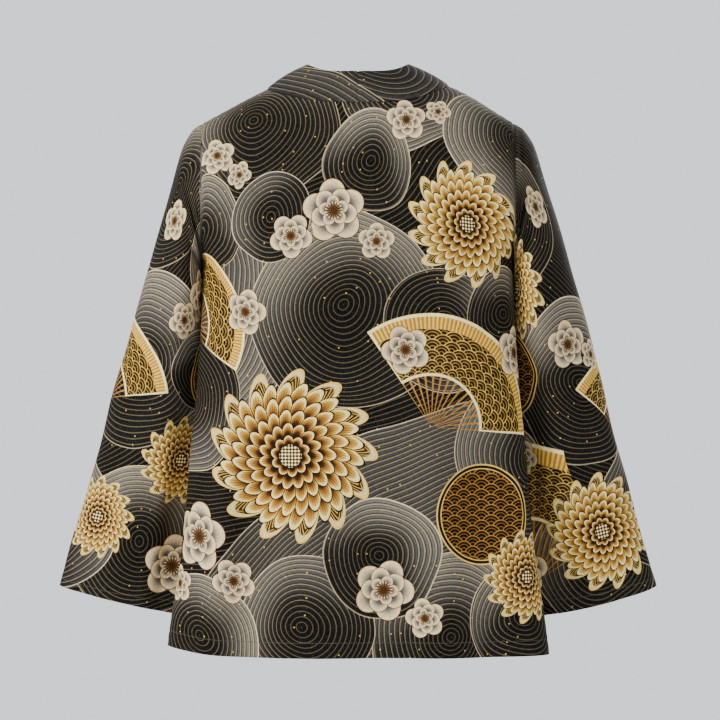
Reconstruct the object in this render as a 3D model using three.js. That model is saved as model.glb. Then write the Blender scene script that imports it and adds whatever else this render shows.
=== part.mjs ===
import * as THREE from "three";

// A hip-length cotton kimono jacket, standing out as it does on a wearer, and open down the front.
// Millimetres, +Z up, front towards -Y, the wearer's left towards +X. The origin is midway between the
// two points where the collar band crosses the shoulder lines, which is where the wearer holds it up.
// The cloth is made of walls: a grid of outer points, each moved in along its normal by the cloth's
// thickness.

// Driving sizes
const CLOTH = 1.6;
const BAND_CLOTH = 3;
const SEAM_GAP = 0.3;
const NECK_SEAM_HALF_WIDTH = 120;
const NECK_SEAM_DROP = 20;
const NECK_SEAM_CURVE = 2.4;
const SHOULDER_HALF_WIDTH = 205;
const SHOULDER_SLOPE = THREE.MathUtils.degToRad(27);
const SHOULDER_ROUND_HEIGHT = 100;
const ARMHOLE_HEIGHT = 182;
const ARMHOLE_DEPTH_SHARE = 0.74;
const BODY_LENGTH = 741;
const LEFT_CORNER_LIFT = 12;
const LIFT_START_X = 130;
const SECTION_SQUARENESS = 2.3;
const BAND_WIDTH = 60;
const NECK_EDGE_HALF_WIDTH = 66;
const NECK_EDGE_BACK_DEPTH = 48.5;
const NECK_EDGE_BACK_HEIGHT = 22.4;
const NECK_EDGE_SIDE_HEIGHT = 34;
const BAND_ROLL = 3;
const BAND_TURN_LENGTH = 150;

// Grid counts
const NECK_COLUMNS = 6;
const SHOULDER_ROWS = 6;
const ARMHOLE_ROWS = [0.3, 0.57, 0.8, 0.94, 1];
const LOWER_ROWS = 16;
const BAND_COLUMNS = 4;
const SLEEVE_RINGS = 22;

const SHOULDER_TIP_Z = -(SHOULDER_HALF_WIDTH - NECK_SEAM_HALF_WIDTH) * Math.tan(SHOULDER_SLOPE);
const ARMPIT_Z = SHOULDER_TIP_Z - ARMHOLE_HEIGHT;

// Horizontal sections of the body: its half width, and how far its back and front stand from the shoulder
// line. seam is how far back the side seam lies.
const BODY_SECTIONS = [
  { z: 60, halfWidth: 205, back: 90, front: 82, seam: 0 },
  { z: -43, halfWidth: 205, back: 96, front: 92, seam: 0 },
  { z: -100, halfWidth: 205, back: 104, front: 106, seam: 0 },
  { z: -160, halfWidth: 205, back: 109, front: 116, seam: 0 },
  { z: -225, halfWidth: 205, back: 110, front: 120, seam: 0 },
  { z: -300, halfWidth: 206.5, back: 107, front: 119, seam: 8 },
  { z: -400, halfWidth: 213, back: 102, front: 115, seam: 18 },
  { z: -480, halfWidth: 221, back: 100, front: 112, seam: 22 },
  { z: -555, halfWidth: 227, back: 101, front: 111, seam: 23 },
  { z: -630, halfWidth: 235, back: 103, front: 111, seam: 24 },
  { z: -690, halfWidth: 245, back: 106, front: 112, seam: 24 },
  { z: -741, halfWidth: 251, back: 109, front: 113, seam: 24 },
];

// The collar band's seam on each front, by height: how far it is from the middle.
const FRONT_SEAM = [
  { z: 0, x: 120 },
  { z: -40, x: 120 },
  { z: -120, x: 113 },
  { z: -220, x: 104 },
  { z: -400, x: 98 },
  { z: -741, x: 94 },
];

// Sections of a sleeve from the armhole to the cuff. Each is a ring through the sleeve's outer and inner
// edge, half as deep as halfDepth says, and moved forwards as the arm hangs. tuck is how much further
// forwards its inner edge lies, in front of the body's side.
const SLEEVE_SECTIONS = [
  { outerX: 205.3, outerZ: -43.3, innerX: 205.3, innerZ: -225.3, halfDepth: 74, forward: 0, tuck: 0 },
  { outerX: 216, outerZ: -51, innerX: 206, innerZ: -229, halfDepth: 74, forward: 0, tuck: 4 },
  { outerX: 226, outerZ: -67, innerX: 206, innerZ: -235, halfDepth: 73, forward: 1, tuck: 9 },
  { outerX: 233, outerZ: -84, innerX: 205.5, innerZ: -243, halfDepth: 72, forward: 2, tuck: 14 },
  { outerX: 243, outerZ: -118, innerX: 204.5, innerZ: -257, halfDepth: 70, forward: 5, tuck: 20 },
  { outerX: 258, outerZ: -170, innerX: 203.5, innerZ: -282, halfDepth: 67, forward: 11, tuck: 24 },
  { outerX: 277, outerZ: -238, innerX: 203, innerZ: -322, halfDepth: 63, forward: 21, tuck: 24 },
  { outerX: 300, outerZ: -320, innerX: 204, innerZ: -380, halfDepth: 58, forward: 35, tuck: 18 },
  { outerX: 324, outerZ: -402, innerX: 206, innerZ: -449, halfDepth: 54, forward: 47, tuck: 12 },
  { outerX: 347, outerZ: -486, innerX: 209, innerZ: -526, halfDepth: 50, forward: 58, tuck: 8 },
  { outerX: 370, outerZ: -568, innerX: 214, innerZ: -609, halfDepth: 46, forward: 68, tuck: 4 },
  { outerX: 394, outerZ: -650, innerX: 221, innerZ: -697, halfDepth: 43, forward: 77, tuck: 0 },
];
const SLEEVE_ROWS = SLEEVE_SECTIONS.map((row, i) => ({ ...row, place: i / (SLEEVE_SECTIONS.length - 1) }));
// How far a sleeve's back hangs lower than its edges, as a share of its depth there.
const SLEEVE_LEAN = 0.18;
// The shares of a sleeve's length over which its ring leaves the armhole's outline and its folds begin.
const ARMHOLE_BLEND = 0.3;
const FOLD_START = 0.12;

// Folds. Each is a soft ridge, or a trough where depth is negative, along a line on the cloth. It fades at
// both ends over FOLD_FADE of its length, and on the body it is lower where the cloth turns to a seam. On the
// back and front a line runs from x0, z0 to x1, z1, and one that ends below the hem reaches it at full depth.
const FOLD_FADE = 0.35;
const FOLD_SEAM_FADE = 2.5;
const BACK_FOLDS = [
  { x0: 150, z0: -330, x1: 214, z1: -900, reach: 26, depth: 7 },
  { x0: 120, z0: -360, x1: 160, z1: -900, reach: 30, depth: -7 },
  { x0: 52, z0: -420, x1: 62, z1: -900, reach: 34, depth: 6 },
  { x0: -25, z0: -470, x1: -32, z1: -900, reach: 36, depth: -5 },
  { x0: -92, z0: -390, x1: -120, z1: -900, reach: 32, depth: 6 },
  { x0: -150, z0: -340, x1: -188, z1: -900, reach: 28, depth: -7 },
  { x0: 196, z0: -150, x1: 110, z1: -235, reach: 24, depth: -5 },
  { x0: -196, z0: -150, x1: -105, z1: -225, reach: 24, depth: -5 },
  { x0: 175, z0: -60, x1: 192, z1: -190, reach: 20, depth: 4 },
  { x0: -172, z0: -60, x1: -190, z1: -200, reach: 20, depth: 4 },
];
const FRONT_FOLDS = [
  { x0: 150, z0: -260, x1: 138, z1: -900, reach: 28, depth: 8 },
  { x0: 196, z0: -320, x1: 196, z1: -900, reach: 26, depth: -7 },
  { x0: -142, z0: -230, x1: -150, z1: -900, reach: 28, depth: 7 },
  { x0: -192, z0: -340, x1: -204, z1: -900, reach: 26, depth: -7 },
  { x0: 190, z0: -160, x1: 130, z1: -90, reach: 24, depth: -5 },
  { x0: -190, z0: -150, x1: -132, z1: -95, reach: 24, depth: -5 },
];

// A sleeve's fold runs along a line from turn0, along0 to turn1, along1. turn is the angle round the sleeve
// in degrees, 0 on its outer edge and 90 at its back, and along is the share of its length from the armhole.
const LEFT_SLEEVE_FOLDS = [
  { turn0: 165, along0: 0.12, turn1: 60, along1: 0.3, reach: 18, depth: -7 },
  { turn0: 150, along0: 0.3, turn1: 50, along1: 0.46, reach: 20, depth: -5 },
  { turn0: 95, along0: 0.5, turn1: 80, along1: 1.2, reach: 24, depth: 5 },
  { turn0: 132, along0: 0.55, turn1: 120, along1: 1.2, reach: 22, depth: -5 },
  { turn0: 200, along0: 0.14, turn1: 300, along1: 0.34, reach: 20, depth: -7 },
  { turn0: 265, along0: 0.5, turn1: 275, along1: 1.2, reach: 24, depth: 5 },
];
const RIGHT_SLEEVE_FOLDS = [
  { turn0: 160, along0: 0.1, turn1: 55, along1: 0.24, reach: 18, depth: -7 },
  { turn0: 155, along0: 0.26, turn1: 65, along1: 0.4, reach: 20, depth: -6 },
  { turn0: 85, along0: 0.46, turn1: 92, along1: 1.2, reach: 24, depth: 5 },
  { turn0: 125, along0: 0.5, turn1: 130, along1: 1.2, reach: 22, depth: -5 },
  { turn0: 205, along0: 0.12, turn1: 295, along1: 0.3, reach: 20, depth: -7 },
  { turn0: 270, along0: 0.52, turn1: 262, along1: 1.2, reach: 24, depth: 5 },
];
const SLEEVE_FOLD_RADIUS = 62;
const SLEEVE_FOLD_LENGTH = 560;

const smooth = (from, to, at) => THREE.MathUtils.smoothstep(at, from, to);
const lerp = THREE.MathUtils.lerp;

// A column of a table at a height, on a smooth curve through the table's rows.
function fromTable(table, key, column, at) {
  const way = Math.sign(table[1][key] - table[0][key]);
  let i = 0;
  while (i < table.length - 2 && way * (at - table[i + 1][key]) > 0) i += 1;
  const slope = (j) => {
    const a = table[Math.max(j - 1, 0)];
    const b = table[Math.min(j + 1, table.length - 1)];
    return (b[column] - a[column]) / (b[key] - a[key]);
  };
  const span = table[i + 1][key] - table[i][key];
  const t = THREE.MathUtils.clamp((at - table[i][key]) / span, 0, 1);
  const [p0, p1] = [table[i][column], table[i + 1][column]];
  const [m0, m1] = [slope(i) * span, slope(i + 1) * span];
  return (
    (2 * t ** 3 - 3 * t ** 2 + 1) * p0 +
    (t ** 3 - 2 * t ** 2 + t) * m0 +
    (3 * t ** 2 - 2 * t ** 3) * p1 +
    (t ** 3 - t ** 2) * m1
  );
}

// How far one fold lifts the cloth at a point, where line is its start and end in the cloth's own plane.
function foldHeight(point, start, end, reach, depth) {
  const way = end.clone().sub(start);
  const along = THREE.MathUtils.clamp(point.clone().sub(start).dot(way) / way.lengthSq(), 0, 1);
  const away = point.distanceTo(start.clone().addScaledVector(way, along));
  const fade = smooth(0, FOLD_FADE, along) * (1 - smooth(1 - FOLD_FADE, 1, along));
  return depth * fade * Math.exp(-((away / reach) ** 2));
}

function bodyFold(folds, x, z) {
  const point = new THREE.Vector2(x, z);
  return folds.reduce((sum, f) => {
    const start = new THREE.Vector2(f.x0, f.z0);
    const end = new THREE.Vector2(f.x1, f.z1);
    return sum + foldHeight(point, start, end, f.reach, f.depth);
  }, 0);
}

function sleeveFold(folds, turn, along) {
  const onCloth = (angle, share) =>
    new THREE.Vector2(THREE.MathUtils.degToRad(angle) * SLEEVE_FOLD_RADIUS, share * SLEEVE_FOLD_LENGTH);
  return folds.reduce((sum, f) => {
    const start = onCloth(f.turn0, f.along0);
    const end = onCloth(f.turn1, f.along1);
    return sum + foldHeight(onCloth(turn, along), start, end, f.reach, f.depth);
  }, 0);
}

// The height of the shoulder line at a distance from the middle, carried on inwards past the neck seam.
function shoulderZ(x) {
  return (NECK_SEAM_HALF_WIDTH - Math.abs(x)) * Math.tan(SHOULDER_SLOPE);
}

function sideX(z) {
  return z > ARMPIT_Z ? SHOULDER_HALF_WIDTH : fromTable(BODY_SECTIONS, "z", "halfWidth", z);
}

// How far round the shoulder the cloth has come, from 0 on the shoulder line to 1 where it hangs.
function shoulderRound(drop) {
  const left = 1 - THREE.MathUtils.clamp(drop / SHOULDER_ROUND_HEIGHT, 0, 1);
  return Math.sqrt(1 - left * left);
}

// The share of the body's depth at x: an oval that closes at the side seam, and above the armpit one that is
// still open where it meets the armhole.
function ovalShare(x, z) {
  const down = THREE.MathUtils.clamp((SHOULDER_TIP_Z - z) / ARMHOLE_HEIGHT, 0, 1);
  const open = z > ARMPIT_Z ? ARMHOLE_DEPTH_SHARE * Math.sqrt(1 - down ** 3) : 0;
  const closing = 1 - open ** SECTION_SQUARENESS;
  const across = Math.min(Math.abs(x) / sideX(z), 1);
  return Math.max(1 - closing * across ** SECTION_SQUARENESS, 0) ** (1 / SECTION_SQUARENESS);
}

// The back (way 1) or front (way -1) of the body at x and z, half a seam gap clear of the seams.
function bodyPoint(way, x, z, drop = shoulderZ(x) - z) {
  const seam = fromTable(BODY_SECTIONS, "z", "seam", z);
  const depth = fromTable(BODY_SECTIONS, "z", way > 0 ? "back" : "front", z) - way * seam;
  const share = shoulderRound(drop) * ovalShare(x, z);
  const fold = bodyFold(way > 0 ? BACK_FOLDS : FRONT_FOLDS, x, z) * Math.min(share * FOLD_SEAM_FADE, 1);
  return new THREE.Vector3(x, seam + way * (depth * share + fold + SEAM_GAP / 2), z);
}

// The hem is level but for its left corner, which is drawn up.
function hemZ(x) {
  const corner = sideX(-BODY_LENGTH);
  return -BODY_LENGTH + LEFT_CORNER_LIFT * Math.max((x - LIFT_START_X) / (corner - LIFT_START_X), 0) ** 2;
}

// The heights of one column of a panel: round the shoulder in equal turns, down to the armpit in steps that
// shorten where the armhole closes, and to the hem in equal steps.
function columnHeights(topX, topDrop) {
  const ridge = shoulderZ(topX);
  const firstTurn = Math.acos(1 - topDrop / SHOULDER_ROUND_HEIGHT);
  const heights = [];
  for (let i = 0; i <= SHOULDER_ROWS; i++) {
    const turn = lerp(firstTurn, Math.PI / 2, i / SHOULDER_ROWS);
    heights.push(ridge - SHOULDER_ROUND_HEIGHT * (1 - Math.cos(turn)));
  }
  const last = heights[SHOULDER_ROWS];
  const hem = hemZ((topX / SHOULDER_HALF_WIDTH) * sideX(-BODY_LENGTH));
  ARMHOLE_ROWS.forEach((share) => heights.push(lerp(last, ARMPIT_Z, share)));
  for (let i = 1; i <= LOWER_ROWS; i++) heights.push(lerp(ARMPIT_Z, hem, i / LOWER_ROWS));
  return heights;
}

// Where the shoulder's columns stand, as shares of the way from the neck seam to the armhole.
const SHOULDER_COLUMNS = [0, 0.14, 0.3, 0.46, 0.6, 0.73, 0.84, 0.92, 0.97, 1];

function neckSeamZ(x) {
  return -NECK_SEAM_DROP * (1 - Math.abs(x / NECK_SEAM_HALF_WIDTH) ** NECK_SEAM_CURVE);
}

// The x of the back panel's columns at the shoulders, from the wearer's right to left.
function backColumns() {
  const half = [];
  for (let i = 0; i <= NECK_COLUMNS; i++) {
    half.push(NECK_SEAM_HALF_WIDTH * Math.sin(((i / NECK_COLUMNS) * Math.PI) / 2));
  }
  const shoulder = SHOULDER_HALF_WIDTH - NECK_SEAM_HALF_WIDTH;
  SHOULDER_COLUMNS.slice(1).forEach((share) => half.push(NECK_SEAM_HALF_WIDTH + shoulder * share));
  return [...half.slice(1).reverse().map((x) => -x), ...half];
}

function backGrid() {
  return backColumns().map((topX) => {
    const onNeck = Math.abs(topX) < NECK_SEAM_HALF_WIDTH;
    const topDrop = onNeck ? shoulderZ(topX) - neckSeamZ(topX) : 0;
    return columnHeights(topX, topDrop).map((z) =>
      bodyPoint(1, (topX / SHOULDER_HALF_WIDTH) * sideX(z), z),
    );
  });
}

// A front's columns run from the band's seam to the side.
function frontGrid(side) {
  return SHOULDER_COLUMNS.map((share) => {
    const topX = lerp(NECK_SEAM_HALF_WIDTH, SHOULDER_HALF_WIDTH, share);
    return columnHeights(side * topX, 0).map((z) => {
      const x = lerp(fromTable(FRONT_SEAM, "z", "x", z), sideX(z), share);
      return bodyPoint(-1, side * x, z);
    });
  });
}

// The collar band's seam and its free edge, from the middle of the back round the neck and down the front.
function bandEdges(side) {
  const seam = [];
  const free = [];
  for (let i = 0; i < NECK_COLUMNS; i++) {
    const share = Math.sin(((i / NECK_COLUMNS) * Math.PI) / 2);
    const x = side * NECK_SEAM_HALF_WIDTH * share;
    seam.push(bodyPoint(1, x, neckSeamZ(x)));
    free.push(
      new THREE.Vector3(
        side * NECK_EDGE_HALF_WIDTH * share,
        NECK_EDGE_BACK_DEPTH * Math.sqrt(1 - share * share),
        lerp(NECK_EDGE_BACK_HEIGHT, NECK_EDGE_SIDE_HEIGHT, share ** 4),
      ),
    );
  }
  columnHeights(side * NECK_SEAM_HALF_WIDTH, 0).forEach((z, row) => {
    const x = fromTable(FRONT_SEAM, "z", "x", z);
    const turned = 1 - smooth(0, BAND_TURN_LENGTH, -z);
    const rise = NECK_EDGE_SIDE_HEIGHT * turned;
    const freeX = x - BAND_WIDTH + (BAND_WIDTH + NECK_EDGE_HALF_WIDTH - NECK_SEAM_HALF_WIDTH) * turned;
    seam.push(bodyPoint(-1, side * x, z));
    free.push(bodyPoint(-1, side * freeX, z + rise, NECK_EDGE_SIDE_HEIGHT - z - rise));
    // The row on the shoulder line belongs to both the back and the front, so it lies between them.
    if (row === 0) [seam, free].forEach((edge) => edge.at(-1).setY(0));
  });
  return { seam, free };
}

function bandGrid(side) {
  const { seam, free } = bandEdges(side);
  return seam.map((start, i) => {
    const across = free[i].clone().sub(start);
    const before = seam[Math.max(i - 1, 0)];
    const after = seam[Math.min(i + 1, seam.length - 1)];
    const out = after.clone().sub(before).cross(across).normalize().multiplyScalar(-side);
    const row = [];
    for (let j = 0; j <= BAND_COLUMNS; j++) {
      const share = lerp(SEAM_GAP / across.length(), 1, j / BAND_COLUMNS);
      const roll = BAND_ROLL * 4 * share * (1 - share);
      row.push(start.clone().addScaledVector(across, share).addScaledVector(out, roll));
    }
    // The two halves meet at the middle of the back.
    if (i === 0) row.forEach((point) => point.setX((side * SEAM_GAP) / 2));
    return row;
  });
}

// One point of a sleeve's ring, on a smooth curve between the sections of the table.
function sleevePoint(side, folds, along, turn) {
  const at = (column) => fromTable(SLEEVE_ROWS, "place", column, along);
  const angle = THREE.MathUtils.degToRad(turn);
  const [outer, inner] = [
    new THREE.Vector3(at("outerX"), 0, at("outerZ")),
    new THREE.Vector3(at("innerX"), 0, at("innerZ")),
  ];
  const middle = outer.clone().add(inner).multiplyScalar(0.5);
  const arm = outer.clone().sub(inner).multiplyScalar(0.5);
  const point = middle.addScaledVector(arm, Math.cos(angle));
  // Near the armhole the ring keeps the armhole's own outline.
  const way = Math.sin(angle) >= 0 ? 1 : -1;
  const armholeZ = SHOULDER_TIP_Z - (ARMHOLE_HEIGHT * (1 - Math.cos(angle))) / 2;
  const onSeam = turn === 0 || turn === 180;
  const armholeY = onSeam ? 0 : bodyPoint(way, side * SHOULDER_HALF_WIDTH, armholeZ).y;
  const oval = at("halfDepth") * Math.sin(angle);
  const hanging = smooth(0, ARMHOLE_BLEND, along);
  const innerShare = Math.max(-Math.cos(angle), 0) ** 2;
  point.y = lerp(armholeY, oval, hanging) - at("forward") - at("tuck") * innerShare;
  point.z -= SLEEVE_LEAN * oval * hanging;
  const lift = sleeveFold(folds, turn, along) * smooth(0, FOLD_START, along);
  const outwards = new THREE.Vector3(arm.x * Math.cos(angle), oval, arm.z * Math.cos(angle));
  point.addScaledVector(outwards.normalize(), lift);
  return point.setX(side * point.x);
}

// The turns round a sleeve at which its ring meets the armhole's rows, back first and then front.
function sleeveTurns() {
  const rows = SHOULDER_ROWS + ARMHOLE_ROWS.length;
  const heights = columnHeights(SHOULDER_HALF_WIDTH, 0).slice(0, rows + 1);
  const back = heights.map((z) => {
    const down = THREE.MathUtils.clamp((SHOULDER_TIP_Z - z) / ARMHOLE_HEIGHT, 0, 1);
    return THREE.MathUtils.radToDeg(Math.acos(1 - 2 * down));
  });
  return [...back, ...back.slice(1, rows).reverse().map((turn) => 360 - turn)];
}

function sleeveGrid(side, folds) {
  const rings = [];
  for (let i = 0; i <= SLEEVE_RINGS; i++) {
    rings.push(sleeveTurns().map((turn) => sleevePoint(side, folds, i / SLEEVE_RINGS, turn)));
  }
  return rings;
}

// The outward normals of a grid's points. closed is true where its rows are rings, and flip turns the
// normals round.
function gridNormals(grid, closed, flip) {
  const [rows, columns] = [grid.length, grid[0].length];
  const column = (j) => (closed ? (j + columns) % columns : THREE.MathUtils.clamp(j, 0, columns - 1));
  return grid.map((row, i) =>
    row.map((_, j) => {
      const alongRow = row[column(j + 1)].clone().sub(row[column(j - 1)]);
      const below = grid[Math.min(i + 1, rows - 1)][j];
      const downRows = below.clone().sub(grid[Math.max(i - 1, 0)][j]);
      return alongRow.cross(downRows).normalize().multiplyScalar(flip ? -1 : 1);
    }),
  );
}

// Gives the points that are sewn together the same normal, so that their walls meet face to face.
function shareNormals(seams) {
  seams.forEach((normals) => {
    const sum = new THREE.Vector3();
    normals.forEach((normal) => sum.add(normal));
    normals.forEach((normal) => normal.copy(sum).normalize());
  });
}

// A closed wall from a grid of outer points, their normals and the cloth's thickness.
function wall(grid, normals, thickness, closed, flip) {
  const [rows, columns] = [grid.length, grid[0].length];
  const positions = [];
  grid.forEach((row) => row.forEach((p) => positions.push(p.x, p.y, p.z)));
  grid.forEach((row, i) =>
    row.forEach((p, j) => {
      const inner = p.clone().addScaledVector(normals[i][j], -thickness);
      positions.push(inner.x, inner.y, inner.z);
    }),
  );
  const index = [];
  const outer = (i, j) => i * columns + (j % columns);
  const inner = (i, j) => rows * columns + outer(i, j);
  const quad = (a, b, c, d) => (flip ? index.push(a, c, b, a, d, c) : index.push(a, b, c, a, c, d));
  const spans = closed ? columns : columns - 1;
  for (let i = 0; i < rows - 1; i++) {
    for (let j = 0; j < spans; j++) {
      quad(outer(i, j), outer(i, j + 1), outer(i + 1, j + 1), outer(i + 1, j));
      quad(inner(i, j), inner(i + 1, j), inner(i + 1, j + 1), inner(i, j + 1));
    }
  }
  for (let j = 0; j < spans; j++) {
    quad(outer(0, j + 1), outer(0, j), inner(0, j), inner(0, j + 1));
    quad(outer(rows - 1, j), outer(rows - 1, j + 1), inner(rows - 1, j + 1), inner(rows - 1, j));
  }
  if (!closed) {
    for (let i = 0; i < rows - 1; i++) {
      quad(outer(i, 0), outer(i + 1, 0), inner(i + 1, 0), inner(i, 0));
      quad(outer(i + 1, spans), outer(i, spans), inner(i, spans), inner(i + 1, spans));
    }
  }
  const geometry = new THREE.BufferGeometry();
  geometry.setAttribute("position", new THREE.Float32BufferAttribute(positions, 3));
  geometry.setIndex(index);
  geometry.computeVertexNormals();
  return geometry;
}

const CHARCOAL = { color: 0x26282b, roughness: 0.85, metalness: 0 };
const BAND_CHARCOAL = { color: 0x2e3133, roughness: 0.85, metalness: 0 };

function piece(name, geometry, look) {
  const mesh = new THREE.Mesh(geometry, new THREE.MeshStandardMaterial(look));
  mesh.name = name;
  return mesh;
}

const SIDES = [
  { side: 1, label: "left", folds: LEFT_SLEEVE_FOLDS },
  { side: -1, label: "right", folds: RIGHT_SLEEVE_FOLDS },
];

// Builds the panels' grids, lets the edges that are sewn together share their normals, and makes the walls.
function jacket() {
  const group = new THREE.Group();
  group.name = "kimono_jacket";
  const back = backGrid();
  const backNormals = gridNormals(back, false, true);
  const middle = (back.length - 1) / 2;
  const walls = [];
  SIDES.forEach(({ side, label, folds }) => {
    const front = frontGrid(side);
    const band = bandGrid(side);
    const frontNormals = gridNormals(front, false, side < 0);
    const bandNormals = gridNormals(band, false, side < 0);
    const backEdge = (j) => middle + side * j;
    const sideEdge = backEdge(NECK_COLUMNS + SHOULDER_COLUMNS.length - 1);
    const lastColumn = SHOULDER_COLUMNS.length - 1;
    const seams = [];
    for (let j = 0; j < NECK_COLUMNS; j++) seams.push([backNormals[backEdge(j)][0], bandNormals[j][0]]);
    for (let j = 0; j <= lastColumn; j++) {
      seams.push([backNormals[backEdge(NECK_COLUMNS + j)][0], frontNormals[j][0]]);
    }
    seams[NECK_COLUMNS].push(bandNormals[NECK_COLUMNS][0]);
    for (let row = 1; row < front[0].length; row++) {
      seams.push([frontNormals[0][row], bandNormals[NECK_COLUMNS + row][0]]);
      seams.push([backNormals[sideEdge][row], frontNormals[lastColumn][row]]);
    }
    shareNormals(seams);
    bandNormals[0].forEach((normal) => normal.setX(0).normalize());
    walls.push([`front_panel_${label}`, wall(front, frontNormals, CLOTH, false, side < 0), CHARCOAL]);
    walls.push([`collar_band_${label}`, wall(band, bandNormals, BAND_CLOTH, false, side < 0), BAND_CHARCOAL]);
    const sleeve = sleeveGrid(side, folds);
    const sleeveNormals = gridNormals(sleeve, true, side > 0);
    sleeveNormals[0].forEach((normal) => normal.setX(0).normalize());
    walls.push([`sleeve_${label}`, wall(sleeve, sleeveNormals, CLOTH, true, side > 0), CHARCOAL]);
  });
  walls.unshift(["back_panel", wall(back, backNormals, CLOTH, false, true), CHARCOAL]);
  walls.forEach(([name, geometry, look]) => group.add(piece(name, geometry, look)));
  return group;
}

export default jacket();
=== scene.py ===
"""A cotton kimono jacket, filled out as on a wearer: panels, sleeves and collar band, with their print."""

import math

import bpy
import numpy as np
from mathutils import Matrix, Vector


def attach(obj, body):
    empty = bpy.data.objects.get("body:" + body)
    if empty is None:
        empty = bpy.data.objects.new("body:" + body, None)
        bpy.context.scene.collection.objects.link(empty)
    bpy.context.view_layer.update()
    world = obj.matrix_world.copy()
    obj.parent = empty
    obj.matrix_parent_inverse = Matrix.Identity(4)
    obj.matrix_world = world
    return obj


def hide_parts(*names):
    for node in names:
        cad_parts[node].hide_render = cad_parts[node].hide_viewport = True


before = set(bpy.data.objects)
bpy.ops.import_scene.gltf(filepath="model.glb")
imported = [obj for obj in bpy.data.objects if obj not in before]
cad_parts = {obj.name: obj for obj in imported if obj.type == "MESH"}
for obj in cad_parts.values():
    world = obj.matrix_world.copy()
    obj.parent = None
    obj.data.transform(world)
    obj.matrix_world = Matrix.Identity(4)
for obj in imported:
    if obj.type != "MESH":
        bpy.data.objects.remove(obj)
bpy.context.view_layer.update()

MM = 0.001
TAU = 2 * math.pi

# Sizes of the jacket in millimetres
NECK_SEAM_HALF_WIDTH = 120
NECK_SEAM_DROP = 20
NECK_SEAM_CURVE = 2.4
SHOULDER_HALF_WIDTH = 205
SHOULDER_SLOPE = math.radians(27)
SHOULDER_ROUND_HEIGHT = 100
ARMHOLE_HEIGHT = 182
ARMHOLE_DEPTH_SHARE = 0.74
BODY_LENGTH = 741
LEFT_CORNER_LIFT = 12
LIFT_START_X = 130
SECTION_SQUARENESS = 2.3
BAND_WIDTH = 60
NECK_EDGE_HALF_WIDTH = 66
NECK_EDGE_BACK_DEPTH = 48.5
NECK_EDGE_BACK_HEIGHT = 22.4
NECK_EDGE_SIDE_HEIGHT = 34
BAND_ROLL = 3
BAND_TURN_LENGTH = 150
ARMHOLE_BLEND = 0.3
FOLD_START = 0.12
FOLD_FADE = 0.35
FOLD_SEAM_FADE = 2.5
FOLD_SHARE = 1.3
SLEEVE_FOLD_RADIUS = 62
SLEEVE_FOLD_LENGTH = 560

# The two sides differ a little, 1 being the wearer's left and -1 the right: how far a sleeve's back hangs
# lower than its edges, as a share of its depth, and how far the shoulder rises. It rises round one place
# across it, and from a height below the shoulder's tip to one above it.
SLEEVE_LEANS = {1: 0.05, -1: 0.15}
SHOULDER_RISES = {1: 2.0, -1: 7.0}
SHOULDER_RISE_X = 140
SHOULDER_RISE_REACH = 46
SHOULDER_RISE_ABOVE = (-100, 30)

# The cloth as it shows: its thickness, the grooves, hollows and puckers beside its seams, and its hems
CLOTH = 1.2
BAND_CLOTH = 2.6
EDGE_ROUNDING = 0.5
BAND_STEP = 1.1
SEAM_GROOVE_DEPTH = 1.1
SEAM_GROOVE_REACH = 2.6
SEAM_OVERLAP = 0.4
ARMHOLE_TROUGH_DEPTH = 7
ARMHOLE_TROUGH_PLACE = 12
ARMHOLE_TROUGH_REACH = 15
ARMHOLE_TROUGH_START = 7
ARMHOLE_TROUGH_END = (60, 160)
ARMHOLE_TROUGH_COSINES = (-1, -0.2)
ARMHOLE_LEVEL_REACH = 25
CREASE_SHARE = 1.9
SLEEVE_RIPPLE_SHARE = 0.8
PUCKER_HEIGHT = 0.35
PUCKER_LENGTH = 15
PUCKER_DRIFT = 2.2
PUCKER_DRIFT_LENGTH = 37
PUCKER_REACH = 16
PUCKER_START = 3
HEM_WIDTH = 22
CUFF_HEM_WIDTH = 18
HEM_STEP = 0.5
HEM_STEP_PLACE = (-1, 2)
STITCH_INSET = 2
STITCH_DENT = 0.7
STITCH_DENT_REACH = 1.6

SHOULDER_TIP_Z = -(SHOULDER_HALF_WIDTH - NECK_SEAM_HALF_WIDTH) * math.tan(SHOULDER_SLOPE)
ARMPIT_Z = SHOULDER_TIP_Z - ARMHOLE_HEIGHT


def table(names, *rows):
    """A short table with named columns, as one array for each column."""
    return {name: np.array(column, float) for name, column in zip(names.split(), zip(*rows))}


# Horizontal sections of the body: half width, how far its back and front stand from the shoulder line, and
# how far back the side seam lies
BODY_SECTIONS = table(
    "z half_width back front seam",
    (60, 205, 90, 82, 0),
    (-43, 205, 96, 92, 0),
    (-100, 205, 104, 106, 0),
    (-160, 205, 109, 116, 0),
    (-225, 205, 110, 120, 0),
    (-300, 206.5, 107, 119, 8),
    (-400, 213, 102, 115, 18),
    (-480, 221, 100, 112, 22),
    (-555, 227, 101, 111, 23),
    (-630, 235, 103, 111, 24),
    (-690, 245, 106, 112, 24),
    (-741, 251, 109, 113, 24),
)

# The collar band's seam on each front, by height
FRONT_SEAM = table("z x", (0, 120), (-40, 120), (-120, 113), (-220, 104), (-400, 98), (-741, 94))

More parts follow.
